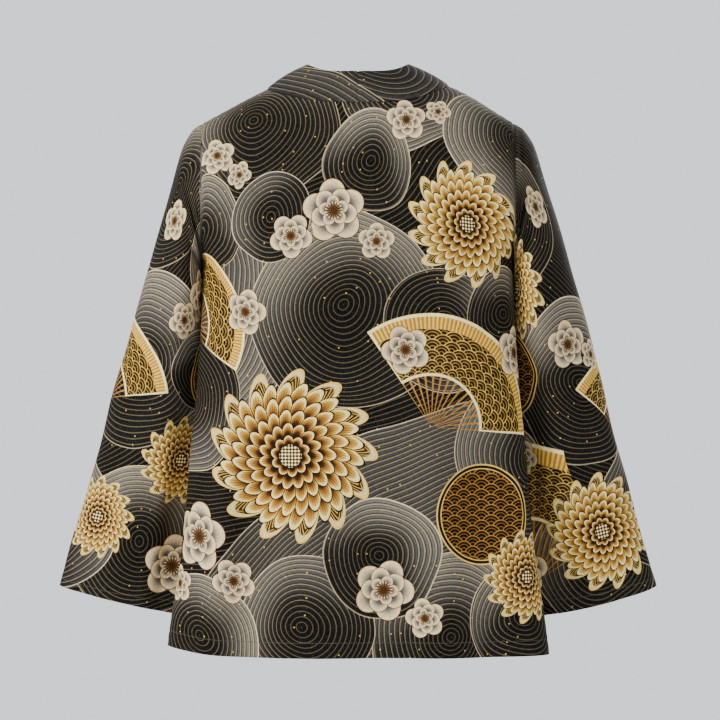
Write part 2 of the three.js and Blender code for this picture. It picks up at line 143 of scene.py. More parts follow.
# Rings of a sleeve, from the armhole to the cuff
SLEEVE_SECTIONS = table(
    "outer_x outer_z inner_x inner_z half_depth forward tuck",
    (205, -43.3, 205, -225.3, 74, 0, 0),
    (216, -51, 205.1, -229, 74, 0, 4),
    (226, -67, 204.9, -235, 73, 1, 9),
    (233, -84, 204.4, -243, 72, 2, 14),
    (243, -118, 203.5, -257, 70, 5, 20),
    (258, -170, 201, -282, 67, 11, 24),
    (277, -238, 199, -322, 63, 21, 24),
    (300, -320, 199, -380, 58, 35, 18),
    (325, -402, 202, -449, 54, 47, 12),
    (349, -486, 207, -526, 50, 58, 8),
    (374, -571, 214, -609, 46, 68, 4),
    (400, -656, 221, -697, 43, 77, 0),
)
SLEEVE_SECTIONS["place"] = np.linspace(0, 1, len(SLEEVE_SECTIONS["outer_x"]))

# Folds as x0, z0, x1, z1, reach, depth. The folds are the large ones, which the solids have too, and the
# creases are finer and only in the cloth. Depths are before FOLD_SHARE and CREASE_SHARE.
BACK_FOLDS = (
    (150, -330, 214, -900, 26, 7),
    (120, -360, 160, -900, 30, -7),
    (52, -420, 62, -900, 34, 6),
    (-25, -470, -32, -900, 36, -5),
    (-92, -390, -120, -900, 32, 6),
    (-150, -340, -188, -900, 28, -7),
    (196, -150, 110, -235, 24, -5),
    (-196, -150, -105, -225, 24, -5),
    (175, -60, 192, -190, 20, 4),
    (-172, -60, -190, -200, 20, 4),
)
BACK_CREASES = (
    (200, -178, 128, -262, 9, -2.2),
    (198, -200, 140, -300, 8, 1.8),
    (202, -215, 150, -330, 9, -2.0),
    (-200, -170, -120, -250, 9, -2.2),
    (-200, -196, -132, -300, 8, 1.8),
    (-202, -214, -158, -345, 9, -1.8),
    (186, -420, 222, -760, 12, -2.4),
    (-182, -400, -222, -800, 12, -2.4),
    (88, -480, 104, -860, 14, 1.8),
    (14, -540, 12, -900, 15, 1.6),
    (-62, -500, -72, -860, 14, -1.6),
    (66, -22, 120, -96, 12, 1.6),
    (-62, -24, -118, -92, 12, 1.6),
    (30, -60, 46, -190, 16, -1.3),
    (-34, -70, -54, -200, 16, -1.3),
    (120, -300, 60, -360, 14, -1.4),
    (-100, -310, -40, -350, 14, -1.4),
)
FRONT_FOLDS = (
    (150, -260, 138, -900, 28, 8),
    (196, -320, 196, -900, 26, -7),
    (-142, -230, -150, -900, 28, 7),
    (-192, -340, -204, -900, 26, -7),
    (190, -160, 130, -90, 24, -5),
    (-190, -150, -132, -95, 24, -5),
)
FRONT_CREASES = (
    (200, -175, 140, -240, 9, -2.2),
    (200, -205, 150, -300, 9, 2.0),
    (-200, -172, -138, -236, 9, -2.2),
    (-200, -202, -150, -310, 9, 2.0),
    (170, -330, 172, -820, 13, -2.2),
    (-168, -320, -176, -820, 13, -2.2),
    (122, -380, 116, -860, 13, 1.8),
    (-120, -400, -116, -860, 13, 1.8),
    (160, -70, 150, -150, 13, 1.6),
    (-160, -70, -148, -150, 13, 1.6),
)

# Slow waves all over the cloth, as their turn in radians for each millimetre across and down, and height
RIPPLE_WAVES = ((0.031, 0.012, 0.9), (-0.017, 0.034, 0.8), (0.047, -0.021, 0.45), (0.012, 0.061, 0.4))

# A sleeve's folds as turn0, along0, turn1, along1, reach, depth. turn is in degrees round the sleeve, 0 and
# 360 on its outer edge and 90 at its back, and along is the share of its length from the armhole. The last
# two folds of each sleeve are the two halves of one ridge that rounds out its outer edge.
LEFT_SLEEVE_FOLDS = (
    (165, 0.12, 60, 0.3, 18, -7),
    (150, 0.3, 50, 0.46, 20, -5),
    (95, 0.5, 80, 1.2, 24, 5),
    (132, 0.55, 120, 1.2, 22, -5),
    (200, 0.14, 300, 0.34, 20, -7),
    (265, 0.5, 275, 1.2, 24, 5),
    (0, 0.05, 0, 0.95, 46, 2.5),
    (360, 0.05, 360, 0.95, 46, 2.5),
)
LEFT_SLEEVE_CREASES = (
    (170, 0.04, 96, 0.16, 9, -3.0),
    (150, 0.1, 84, 0.13, 8, 2.2),
    (158, 0.2, 70, 0.28, 9, 2.4),
    (166, 0.26, 92, 0.4, 9, -2.6),
    (160, 0.4, 88, 0.52, 10, 2.2),
    (40, 0.04, 70, 0.12, 12, -1.8),
    (150, 0.56, 60, 0.66, 11, -2.2),
    (60, 0.62, 48, 1.2, 13, -2.2),
    (108, 0.7, 104, 1.2, 12, 2.2),
    (190, 0.06, 262, 0.18, 9, -2.8),
    (204, 0.24, 290, 0.38, 10, 2.4),
    (210, 0.5, 300, 0.6, 11, -2.2),
    (300, 0.66, 306, 1.2, 13, 2.0),
)
RIGHT_SLEEVE_FOLDS = (
    (160, 0.1, 55, 0.24, 18, -7),
    (155, 0.26, 65, 0.4, 20, -6),
    (85, 0.46, 92, 1.2, 24, 5),
    (125, 0.5, 130, 1.2, 22, -5),
    (205, 0.12, 295, 0.3, 20, -7),
    (270, 0.52, 262, 1.2, 24, 5),
    (0, 0, 0, 0.9, 46, 8),
    (360, 0, 360, 0.9, 46, 8),
)
RIGHT_SLEEVE_CREASES = (
    (168, 0.05, 90, 0.15, 9, -3.0),
    (152, 0.12, 76, 0.14, 8, 2.2),
    (162, 0.19, 82, 0.3, 9, 2.4),
    (164, 0.3, 100, 0.42, 9, -2.6),
    (156, 0.44, 92, 0.5, 10, 2.0),
    (44, 0.05, 66, 0.13, 12, -1.8),
    (154, 0.6, 66, 0.7, 11, -2.2),
    (58, 0.58, 64, 1.2, 13, -2.2),
    (112, 0.66, 116, 1.2, 12, 2.2),
    (192, 0.07, 266, 0.16, 9, -2.8),
    (206, 0.26, 288, 0.36, 10, 2.4),
    (212, 0.48, 296, 0.62, 11, -2.2),
    (304, 0.64, 298, 1.2, 13, 2.0),
)


def smooth(low, high, at):
    share = np.clip((np.asarray(at, float) - low) / (high - low), 0, 1)
    return share * share * (3 - 2 * share)


def lerp(a, b, share):
    return a + (b - a) * share


def from_table(rows, key, column, at):
    """A column of a table at a place, on a smooth curve through the table's rows."""
    keys, values = rows[key], rows[column]
    at = np.asarray(at, float)
    way = math.copysign(1, keys[1] - keys[0])
    slopes = np.empty_like(values)
    slopes[1:-1] = (values[2:] - values[:-2]) / (keys[2:] - keys[:-2])
    slopes[0] = (values[1] - values[0]) / (keys[1] - keys[0])
    slopes[-1] = (values[-1] - values[-2]) / (keys[-1] - keys[-2])
    i = np.clip(np.searchsorted(way * keys, way * at) - 1, 0, len(keys) - 2)
    span = keys[i + 1] - keys[i]
    t = np.clip((at - keys[i]) / span, 0, 1)
    return (
        (2 * t**3 - 3 * t**2 + 1) * values[i]
        + (t**3 - 2 * t**2 + t) * slopes[i] * span
        + (3 * t**2 - 2 * t**3) * values[i + 1]
        + (t**3 - t**2) * slopes[i + 1] * span
    )


def fold_lift(folds, across, down):
    """How far folds lift the cloth at points of its own plane."""
    lift = np.zeros(np.broadcast(across, down).shape)
    for x0, y0, x1, y1, reach, depth in folds:
        way_x, way_y = x1 - x0, y1 - y0
        share = np.clip(((across - x0) * way_x + (down - y0) * way_y) / (way_x**2 + way_y**2), 0, 1)
        away = (across - x0 - share * way_x) ** 2 + (down - y0 - share * way_y) ** 2
        fade = smooth(0, FOLD_FADE, share) * (1 - smooth(1 - FOLD_FADE, 1, share))
        lift += depth * fade * np.exp(-away / reach**2)
    return lift


def on_sleeve(folds):
    """A sleeve's folds with their places in millimetres on the cloth."""
    turn = math.radians(1) * SLEEVE_FOLD_RADIUS
    return [
        (t0 * turn, a0 * SLEEVE_FOLD_LENGTH, t1 * turn, a1 * SLEEVE_FOLD_LENGTH, reach, depth)
        for t0, a0, t1, a1, reach, depth in folds
    ]


def ripple(across, down, phase):
    """The slight unevenness of cloth that nothing stretches."""
    return sum(
        height * np.sin(a * across + b * down + phase * (k + 1))
        for k, (a, b, height) in enumerate(RIPPLE_WAVES)
    )


def shoulder_z(x):
    return (NECK_SEAM_HALF_WIDTH - np.abs(x)) * math.tan(SHOULDER_SLOPE)


def side_x(z):
    return np.where(
        np.asarray(z) > ARMPIT_Z, SHOULDER_HALF_WIDTH, from_table(BODY_SECTIONS, "z", "half_width", z)
    )


def oval_share(x, z):
    """The share of the body's depth at x, closing at the side seam and open at the armhole."""
    down = np.clip((SHOULDER_TIP_Z - z) / ARMHOLE_HEIGHT, 0, 1)
    opening = np.where(z > ARMPIT_Z, ARMHOLE_DEPTH_SHARE * np.sqrt(1 - down**3), 0)
    closing = 1 - opening**SECTION_SQUARENESS
    across = np.minimum(np.abs(x) / side_x(z), 1)
    return np.maximum(1 - closing * across**SECTION_SQUARENESS, 0) ** (1 / SECTION_SQUARENESS)


def body_point(way, x, z, drop=None, creased=False):
    """The back (way 1) or front (way -1) of the body at x and z."""
    x, z = np.broadcast_arrays(np.asarray(x, float), np.asarray(z, float))
    drop = shoulder_z(x) - z if drop is None else drop
    seam = from_table(BODY_SECTIONS, "z", "seam", z)
    depth = from_table(BODY_SECTIONS, "z", "back" if way > 0 else "front", z) - way * seam
    left = 1 - np.clip(drop / SHOULDER_ROUND_HEIGHT, 0, 1)
    share = np.sqrt(1 - left**2) * oval_share(x, z)
    folds = BACK_FOLDS if way > 0 else FRONT_FOLDS
    lift = FOLD_SHARE * fold_lift(folds, x, z)
    if creased:
        creases = BACK_CREASES if way > 0 else FRONT_CREASES
        lift = lift + CREASE_SHARE * fold_lift(creases, x, z) + ripple(x, z, 2.0 + way)
    lift = lift * np.minimum(share * FOLD_SEAM_FADE, 1)
    return np.stack([x, seam + way * (depth * share + lift), z], -1)


def raise_shoulder(grid):
    """Lifts the cloth over one shoulder a little more than over the other, as it sits on a wearer."""
    rise = sum(
        height * np.exp(-(((side * grid[..., 0] - SHOULDER_RISE_X) / SHOULDER_RISE_REACH) ** 2))
        for side, height in SHOULDER_RISES.items()
    )
    low, high = SHOULDER_RISE_ABOVE
    grid[..., 2] += rise * smooth(SHOULDER_TIP_Z + low, SHOULDER_TIP_Z + high, grid[..., 2])
    return grid


def hem_z(x):
    corner = float(side_x(-BODY_LENGTH))
    return -BODY_LENGTH + LEFT_CORNER_LIFT * np.maximum((x - LIFT_START_X) / (corner - LIFT_START_X), 0) ** 2


def neck_seam_z(x):
    return -NECK_SEAM_DROP * (1 - np.abs(x / NECK_SEAM_HALF_WIDTH) ** NECK_SEAM_CURVE)


# How much shorter a grid's first step is at a seam, and over how many steps that fades
EDGE_STEP_CUT = 0.75
EDGE_STEP_REACH = 2.2


def spaced(count, start=True, end=True):
    """Places from 0 to 1 that lie closer together at the ends that are named, for the seams' grooves."""
    steps = np.ones(count)
    fade = EDGE_STEP_CUT * np.exp(-np.arange(count) / EDGE_STEP_REACH)
    steps -= fade if start else 0
    steps -= fade[::-1] if end else 0
    return np.concatenate([[0], np.cumsum(steps)]) / steps.sum()


def eased(count, turn):
    """Places from 0 to 1 that draw together towards 1, where the cloth curves round to a seam."""
    return np.sin(np.linspace(0, turn, count + 1)) / math.sin(turn)


# Grid places: across the neck, across the shoulder, round it, down to the armpit, down to the hem, across
# the band, and along a sleeve and round it
NECK_PLACES = eased(42, 1.5)
SIDE_COLUMNS = 44
SIDE_LAST_TURN = 1.54
TURN_PLACES = spaced(42, end=False)
UPPER_PLACES = eased(56, 1.52)[1:]
LOWER_PLACES = spaced(140, start=False)[1:]
BAND_PLACES = spaced(20)
SLEEVE_PLACES = spaced(176)
SLEEVE_TURNS = 152


def side_shares():
    """Shares of the way from the neck seam to the side that lie about equally far apart on the oval."""
    power = SECTION_SQUARENESS / 2
    widest = math.sin(SIDE_LAST_TURN)
    first = math.asin(widest * (NECK_SEAM_HALF_WIDTH / SHOULDER_HALF_WIDTH) ** power)
    turn = np.linspace(first, SIDE_LAST_TURN, SIDE_COLUMNS + 1)
    x = SHOULDER_HALF_WIDTH * (np.sin(turn) / widest) ** (1 / power)
    return (x - NECK_SEAM_HALF_WIDTH) / (SHOULDER_HALF_WIDTH - NECK_SEAM_HALF_WIDTH)


def column_heights(top_x, top_drop):
    """The heights of a panel's columns: round the shoulder, down to the armpit and to the hem."""
    top_x = np.atleast_1d(np.asarray(top_x, float))[:, None]
    top_drop = np.atleast_1d(np.asarray(top_drop, float))[:, None]
    ridge = shoulder_z(top_x)
    first = np.arccos(1 - top_drop / SHOULDER_ROUND_HEIGHT)
    turn = lerp(first, math.pi / 2, TURN_PLACES[None])
    shoulder = ridge - SHOULDER_ROUND_HEIGHT * (1 - np.cos(turn))
    upper = lerp(shoulder[:, -1:], ARMPIT_Z, UPPER_PLACES[None])
    hem = hem_z(top_x / SHOULDER_HALF_WIDTH * float(side_x(-BODY_LENGTH)))
    lower = lerp(ARMPIT_Z, hem, LOWER_PLACES[None])
    return np.concatenate([shoulder, upper, lower], 1)


def back_grid():
    side = lerp(NECK_SEAM_HALF_WIDTH, SHOULDER_HALF_WIDTH, side_shares())
    half = np.concatenate([NECK_SEAM_HALF_WIDTH * NECK_PLACES, side[1:]])
    top_x = np.concatenate([-half[:0:-1], half])
    on_neck = np.abs(top_x) < NECK_SEAM_HALF_WIDTH
    z = column_heights(top_x, np.where(on_neck, shoulder_z(top_x) - neck_seam_z(top_x), 0))
    x = top_x[:, None] / SHOULDER_HALF_WIDTH * side_x(z)
    return raise_shoulder(body_point(1, x, z, creased=True))


def front_grid(side):
    shares = side_shares()[:, None]
    top_x = lerp(NECK_SEAM_HALF_WIDTH, SHOULDER_HALF_WIDTH, shares[:, 0])
    z = column_heights(side * top_x, 0 * top_x)
    x = lerp(from_table(FRONT_SEAM, "z", "x", z), side_x(z), shares)
    return raise_shoulder(body_point(-1, side * x, z, creased=True))


def band_grid(side):
    """The collar band from the middle of the back round the neck and down the front."""
    x = side * NECK_SEAM_HALF_WIDTH * NECK_PLACES[:-1]
    seam = [body_point(1, x, neck_seam_z(x), creased=True)]
    share = NECK_PLACES[:-1]
    height = lerp(NECK_EDGE_BACK_HEIGHT, NECK_EDGE_SIDE_HEIGHT, share**4)
    depth = NECK_EDGE_BACK_DEPTH * np.sqrt(1 - share**2)
    free = [np.stack([side * NECK_EDGE_HALF_WIDTH * share, depth, height], -1)]
    z = column_heights(side * NECK_SEAM_HALF_WIDTH, 0)[0]
    x = from_table(FRONT_SEAM, "z", "x", z)
    turned = 1 - smooth(0, BAND_TURN_LENGTH, -z)
    rise = NECK_EDGE_SIDE_HEIGHT * turned
    free_x = x - BAND_WIDTH + (BAND_WIDTH + NECK_EDGE_HALF_WIDTH - NECK_SEAM_HALF_WIDTH) * turned
    seam.append(body_point(-1, side * x, z, creased=True))
    free.append(body_point(-1, side * free_x, z + rise, NECK_EDGE_SIDE_HEIGHT - z - rise))
    for edge in (seam[1], free[1]):
        edge[0, 1] = 0
    seam, free = np.concatenate(seam), np.concatenate(free)
    across = free - seam
    along = np.gradient(seam, axis=0)
    out = np.cross(along, across)
    out *= -side / np.linalg.norm(out, axis=1, keepdims=True)
    shares = BAND_PLACES[None, :, None]
    roll = BAND_ROLL * 4 * shares * (1 - shares)
    return raise_shoulder(seam[:, None] + across[:, None] * shares + out[:, None] * roll)


def sleeve_grid(side, folds, creases):
    """A sleeve's rings, from the seam under the arm round its back and its outer edge."""
    along = SLEEVE_PLACES[:, None]
    turn = np.linspace(180, -180, SLEEVE_TURNS + 1)[None]
    angle = np.radians(turn)

    def at(column):
        return from_table(SLEEVE_SECTIONS, "place", column, along)

    cos, sin = np.cos(angle), np.sin(angle)
    half_x, half_z = (at("outer_x") - at("inner_x")) / 2, (at("outer_z") - at("inner_z")) / 2
    x = (at("outer_x") + at("inner_x")) / 2 + half_x * cos
    z = (at("outer_z") + at("inner_z")) / 2 + half_z * cos
    armhole_z = SHOULDER_TIP_Z - ARMHOLE_HEIGHT * (1 - cos) / 2
    back = body_point(1, side * SHOULDER_HALF_WIDTH, armhole_z, creased=True)[..., 1]
    front = body_point(-1, side * SHOULDER_HALF_WIDTH, armhole_z, creased=True)[..., 1]
    armhole_y = np.where(sin >= 0, back, front)
    oval = at("half_depth") * sin
    hanging = smooth(0, ARMHOLE_BLEND, along)
    y = lerp(armhole_y, oval, hanging) - at("forward") - at("tuck") * np.maximum(-cos, 0) ** 2
    z = z - SLEEVE_LEANS[side] * oval * hanging
    places = np.mod(turn, 360) * math.radians(1) * SLEEVE_FOLD_RADIUS, along * SLEEVE_FOLD_LENGTH
    lift = fold_lift(on_sleeve(folds), *places) + CREASE_SHARE * fold_lift(on_sleeve(creases), *places)
    lift = lift + SLEEVE_RIPPLE_SHARE * ripple(z, x * 2, 4.0 + side)
    lift = lift * smooth(0, FOLD_START, along)
    out = np.stack(np.broadcast_arrays(half_x * cos, oval, half_z * cos), -1)
    out /= np.linalg.norm(out, axis=-1, keepdims=True)
    grid = np.stack(np.broadcast_arrays(x, y, z), -1) + out * lift[..., None]
    # The underarm seam's two edges are one line
    grid[:, -1] = grid[:, 0]
    grid[..., 0] *= side
    return raise_shoulder(grid)


def grid_normals(grid):
    normals = np.cross(np.gradient(grid, axis=0), np.gradient(grid, axis=1))
    return normals / np.linalg.norm(normals, axis=-1, keepdims=True)


def share_directions(*edges):
    """Gives the edges that are sewn together the same outward direction, so that they stay together."""
    shared = sum(edges)
    shared = shared / np.linalg.norm(shared, axis=-1, keepdims=True)
    for edge in edges:
        edge[...] = shared


def level_direction(outward, kept=0):
    """Turns outward directions into the plane of a seam that faces sideways, wholly where kept is 0."""
    outward[..., 0] *= kept
    outward /= np.linalg.norm(outward, axis=-1, keepdims=True)


def run_lengths(grid, axis):
    """How far each point of a grid lies along its row or column, measured on the cloth."""
    steps = np.linalg.norm(np.diff(grid, axis=axis), axis=-1)
    first = np.zeros_like(np.take(steps, [0], axis))
    return np.cumsum(np.concatenate([first, steps], axis), axis)


def seam_relief(grid, outward, edges):
    """Draws the cloth in along the edges that are sewn, with small puckers beside them."""
    grid = grid.copy()
    ends = {"start": (grid[0], grid[1]), "end": (grid[-1], grid[-2]), "top": (grid[:, 0], grid[:, 1])}
    for edge in edges:
        last, before = ends[edge]
        step = last - before
        last += step * SEAM_OVERLAP / np.linalg.norm(step, axis=-1, keepdims=True)
    across, down = run_lengths(grid, 0), run_lengths(grid, 1)
    reach = {
        "start": (across, down),
        "end": (across[-1:] - across, down),
        "top": (down, across),
    }
    lift = np.zeros(grid.shape[:2])
    for edge in edges:
        away, along = reach[edge]
        lift -= SEAM_GROOVE_DEPTH * np.exp(-((away / SEAM_GROOVE_REACH) ** 2))
        drift = PUCKER_DRIFT * np.sin(along / PUCKER_DRIFT_LENGTH)
        wave = np.sin(along * TAU / PUCKER_LENGTH + drift)
        beside = np.exp(-away / PUCKER_REACH) * (1 - np.exp(-away / PUCKER_START))
        lift += PUCKER_HEIGHT * wave * beside
    return grid + outward * lift[..., None]


def armhole_trough(grid):
    """The hollow that a sleeve draws beside its armhole, on its back and front and not under the arm."""
    away = np.abs(np.abs(grid[..., 0]) - SHOULDER_HALF_WIDTH)
    turn = np.linspace(math.pi, -math.pi, grid.shape[1])[None]
    place = np.exp(-(((away - ARMHOLE_TROUGH_PLACE) / ARMHOLE_TROUGH_REACH) ** 2))
    place *= smooth(0, ARMHOLE_TROUGH_START, away) * smooth(*ARMHOLE_TROUGH_COSINES, np.cos(turn))
    place *= 1 - smooth(*ARMHOLE_TROUGH_END, run_lengths(grid, 0))
    grid[..., 1] -= ARMHOLE_TROUGH_DEPTH * place * np.sin(turn)
    return grid


def hem_relief(grid, outward, width, axis=1):
    """The turned-up hem: two layers, so the cloth stands a little thicker, with a drawn-in stitch line."""
    run = run_lengths(grid, axis)
    up = np.take(run, [-1], axis) - run
    start, end = HEM_STEP_PLACE
    lift = HEM_STEP * (1 - smooth(width + start, width + end, up))
    lift -= STITCH_DENT * np.exp(-(((up - width + STITCH_INSET) / STITCH_DENT_REACH) ** 2))
    return grid + outward * lift[..., None]


def ring_place(grid):
    """Cloth coordinates of a sleeve: round it from the middle of its back, and up from the cuff."""
    round_it = run_lengths(grid, 1)
    round_it = round_it - round_it[:, [SLEEVE_TURNS // 4]]
    cuff, top = grid[-1].mean(0), grid[len(grid) // 3].mean(0)
    up = (top - cuff) / np.linalg.norm(top - cuff)
    return np.stack([round_it, (grid - cuff) @ up], -1)


def panel_place(grid, middle):
    """Cloth coordinates of a panel: across from one column, and up from the hem, in millimetres."""
    across = run_lengths(grid, 0)
    across[:, : len(TURN_PLACES)] = across[:, [len(TURN_PLACES)]]
    down = run_lengths(grid, 1)
    return np.stack([across - across[middle], down[:, -1:] - down], -1)


def band_place(grid):
    """Cloth coordinates of the band: across it from its seam, and along it from the middle of the back."""
    along = run_lengths(grid, 0)[:, [grid.shape[1] // 2]]
    return np.stack(np.broadcast_arrays(run_lengths(grid, 1), along), -1)


def cloth_piece(name, grid, places, thickness, outward, materials, closed=False):
    """A shell of cloth: a grid primitive laid on the garment's form, given its thickness and soft edges."""
    rows, columns = grid.shape[:2]
    bpy.ops.object.select_all(action="DESELECT")
    bpy.ops.mesh.primitive_grid_add(x_subdivisions=rows - 1, y_subdivisions=columns - 1, size=1)
    piece = bpy.context.object
    piece.name = piece.data.name = name
    mesh = piece.data
    for material in materials:
        mesh.materials.append(material)
    flat = np.empty(len(mesh.vertices) * 3)
    mesh.vertices.foreach_get("co", flat)
    flat = flat.reshape(-1, 3)
    i = np.rint((flat[:, 0] + 0.5) * (rows - 1)).astype(int)
    j = np.rint((flat[:, 1] + 0.5) * (columns - 1)).astype(int)
    mesh.vertices.foreach_set("co", (grid[i, j] * MM).ravel())
    corners = np.empty(len(mesh.loops), int)
    mesh.loops.foreach_get("vertex_index", corners)
    layer = mesh.uv_layers[0]
    layer.name = "cloth"
    layer.data.foreach_set("uv", (places[i, j][corners] * MM).ravel())
    mesh.update()
    normals = np.empty(len(mesh.vertices) * 3)
    mesh.vertices.foreach_get("normal", normals)
    if (normals.reshape(-1, 3) * outward[i, j]).sum() < 0:
        mesh.flip_normals()
    if closed:
        weld = piece.modifiers.new("weld", "WELD")
        weld.merge_threshold = 1e-6
        bpy.ops.object.modifier_apply(modifier="weld")
    wall = piece.modifiers.new("wall", "SOLIDIFY")
    wall.thickness = thickness * MM
    wall.offset = -1
    wall.material_offset = 1
    bpy.ops.object.modifier_apply(modifier="wall")
    edges = piece.modifiers.new("edges", "BEVEL")
    edges.width = EDGE_ROUNDING * MM
    edges.segments = 2
    edges.limit_method = "ANGLE"
    edges.angle_limit = math.radians(60)
    bpy.ops.object.modifier_apply(modifier="edges")
    bpy.ops.object.shade_smooth()
    return piece


def srgb(code):
    """A colour as light, from its six-digit code."""
    parts = [int(code[k : k + 2], 16) / 255 for k in (0, 2, 4)]
    return tuple(c / 12.92 if c <= 0.04045 else ((c + 0.055) / 1.055) ** 2.4 for c in parts) + (1.0,)


GROUND = srgb("050607")
RIPPLE_DARK = srgb("161618")
RIPPLE_GREY = srgb("4c4a46")
RIPPLE_LIGHT = srgb("908777")
LINE = srgb("b29b6b")
CREAM = srgb("ecd2a6")
CREAM_SHADE = srgb("5e574d")
PALE_GOLD = srgb("fde7a2")
GOLD = srgb("e2b950")
AMBER = srgb("a97428")
BROWN = srgb("3d220f")
DARK_BROWN = srgb("140b06")
THREAD = srgb("4a4640")
REVERSE = srgb("4a4743")

# Sizes of the print and the weave in millimetres, and how the cotton shines
RING_SPACING = 6.4
BAND_RING_SPACING = 9.6
SPECK_SPACING = 13
DRIFT_LENGTH = 120
DRIFT_REACH = 34.0
STITCH_LENGTH = 3.4
CRINKLE_SIZE = 34
CRINKLE_HEIGHT = 22
BUMP_HEIGHT = 0.18
REVERSE_SOAK = 0.78
COTTON = {
    "Roughness": 0.82,
    "Specular IOR Level": 0.05,
    "Sheen Weight": 0.01,
    "Sheen Roughness": 0.5,
}


class Signal:
    """A value that shader nodes hand on, so that a print reads as arithmetic. Lengths are millimetres."""

    tree = None

    def __init__(self, socket):
        self.socket = socket

    @classmethod
    def node(cls, kind, *inputs, output=0, **settings):
        node = cls.tree.nodes.new(kind)
        for name, value in settings.items():
            setattr(node, name, value)
        for slot, value in inputs:
            socket = node.inputs[slot]
            if isinstance(value, Signal):
                cls.tree.links.new(value.socket, socket)
            else:
                socket.default_value = value
        return Signal(node.outputs[output])

    def math(self, operation, *others):
        return Signal.node("ShaderNodeMath", *enumerate((self, *others)), operation=operation)

    def __add__(self, other):
        return self.math("ADD", other)

    def __sub__(self, other):
        return self.math("SUBTRACT", other)

    def __rsub__(self, other):
        return self.math("MULTIPLY_ADD", -1.0, other)

    def __mul__(self, other):
        return self.math("MULTIPLY", other)

    def __truediv__(self, other):
        return self.math("DIVIDE", other)

    def __lt__(self, other):
        return self.math("LESS_THAN", other)

    def __gt__(self, other):
        return self.math("GREATER_THAN", other)

    def __abs__(self):
        return self.math("ABSOLUTE")

    def part(self):
        return self.math("FRACT")

    def floor(self):
        return self.math("FLOOR")

    def swing(self, top):
        """Goes up to top and back to 0, again and again."""
        return self.math("PINGPONG", top)

    def rise(self, low, high):
        """0 at low and 1 at high, or the other way round, with soft ends."""
        limits = (low, high, 0.0, 1.0) if low < high else (high, low, 1.0, 0.0)
        inputs = enumerate((self, *limits))
        return Signal.node("ShaderNodeMapRange", *inputs, interpolation_type="SMOOTHSTEP")


def mix(share, a, b):
    """a where share is 0 and b where it is 1, of numbers."""
    return Signal.node("ShaderNodeMix", (0, share), (2, a), (3, b), data_type="FLOAT")


def mix_vector(share, a, b):
    return Signal.node("ShaderNodeMix", (0, share), (4, a), (5, b), data_type="VECTOR", output=1)


def lay(share, under, over):
    """Lays a colour over another."""
    return Signal.node("ShaderNodeMix", (0, share), (6, under), (7, over), data_type="RGBA", output=2)


def shades(value, *stops):
    """A run of colours, each from its place on."""
    node = Signal.tree.nodes.new("ShaderNodeValToRGB")
    Signal.tree.links.new(value.socket, node.inputs[0])
    ramp = node.color_ramp
    while len(ramp.elements) < len(stops):
        ramp.elements.new(0.5)
    for element, (place, colour) in zip(ramp.elements, stops):
        element.position = place
        element.color = colour
    return Signal(node.outputs[0])


def split(vector):
    node = Signal.tree.nodes.new("ShaderNodeSeparateXYZ")
    Signal.tree.links.new(vector.socket, node.inputs[0])
    return [Signal(output) for output in node.outputs]


def vector_math(operation, a, b=None, output=0):
    inputs = [(0, a)] if b is None else [(0, a), (1, b)]
    return Signal.node("ShaderNodeVectorMath", *inputs, operation=operation, output=output)


def topmost(point, motifs):
    """The way from the middle of the motif that lies on top at a point, and its radius, turn and tone."""
    way, facts = (9e3, 9e3, 0.0), (1.0, 0.0, 0.0)
    for x, y, radius, turn, tone in motifs:
        to = vector_math("SUBTRACT", point, (float(x), float(y), 0.0))
        held = vector_math("LENGTH", to, output=1) < float(radius)
        way = mix_vector(held, way, to)
        facts = mix_vector(held, facts, (float(radius), math.radians(turn), float(tone)))
    away = vector_math("LENGTH", way, output=1)
    across, up, _ = split(way)
    radius, turn, tone = split(facts)
    angle = up.math("ARCTAN2", across) + turn
    share = away / radius
    return dict(x=across, y=up, away=away, radius=radius, share=share, angle=angle, tone=tone)


def ripples(point, motifs, spacing):
    """Water rings: fine engraved circles, dark in the middle and lit on one side of the rim."""
    drop = topmost(point, motifs)
    lane = (drop["away"] / spacing).part()
    facing = drop["angle"].math("COSINE").rise(-0.9, 1.0)
    light = drop["tone"] * drop["share"].rise(0.05, 0.95) * (facing * 0.85 + 0.15)
    stops = ((0.0, GROUND), (0.2, RIPPLE_DARK), (0.54, RIPPLE_GREY), (1.0, RIPPLE_LIGHT))
    colour = shades(light * (lane * 0.45 + 0.55), *stops)
    line = drop["away"].swing(spacing / 2).rise(0.8, 0.3)
    fine = (drop["away"] + spacing / 4).swing(spacing / 4).rise(0.45, 0.15)
    colour = lay(fine * light, colour, GROUND)
    colour = lay(line * (light * 0.6 + 0.16), colour, LINE)
    edge = (drop["radius"] - drop["away"]).rise(1.5, 0.8)
    return lay(edge * (light * 0.5 + 0.35), colour, CREAM)


SCALE_WIDTH = 27.0


def wave_scales(across, up):
    """The place in a field of overlapping waves: 0 in the middle of an arc and 1 at its rim."""
    step = SCALE_WIDTH / 4
    row = (up / step).floor()
    rest = up - row * step
    odd = row.swing(1.0) * 0.5
    place = across / SCALE_WIDTH
    here = (place + odd).part() - 0.5
    beside = (place - odd + 0.5).part() - 0.5

    def away(side, height):
        wide = side * SCALE_WIDTH
        return (wide * wide + height * height).math("SQRT") / (SCALE_WIDTH / 2)

    nearer = away(beside, rest + step)
    return mix(nearer < 1.0, away(here, rest), nearer)


def scale_colour(across, up, dark, light, line):
    place = wave_scales(across, up)
    colour = shades(place, (0.0, dark), (1.0, light))
    rings = (place * 3.0).swing(0.5).rise(0.16, 0.07)
    rim = place.rise(0.88, 0.94)
    return lay((rings * 0.55).math("MAXIMUM", rim), colour, line)


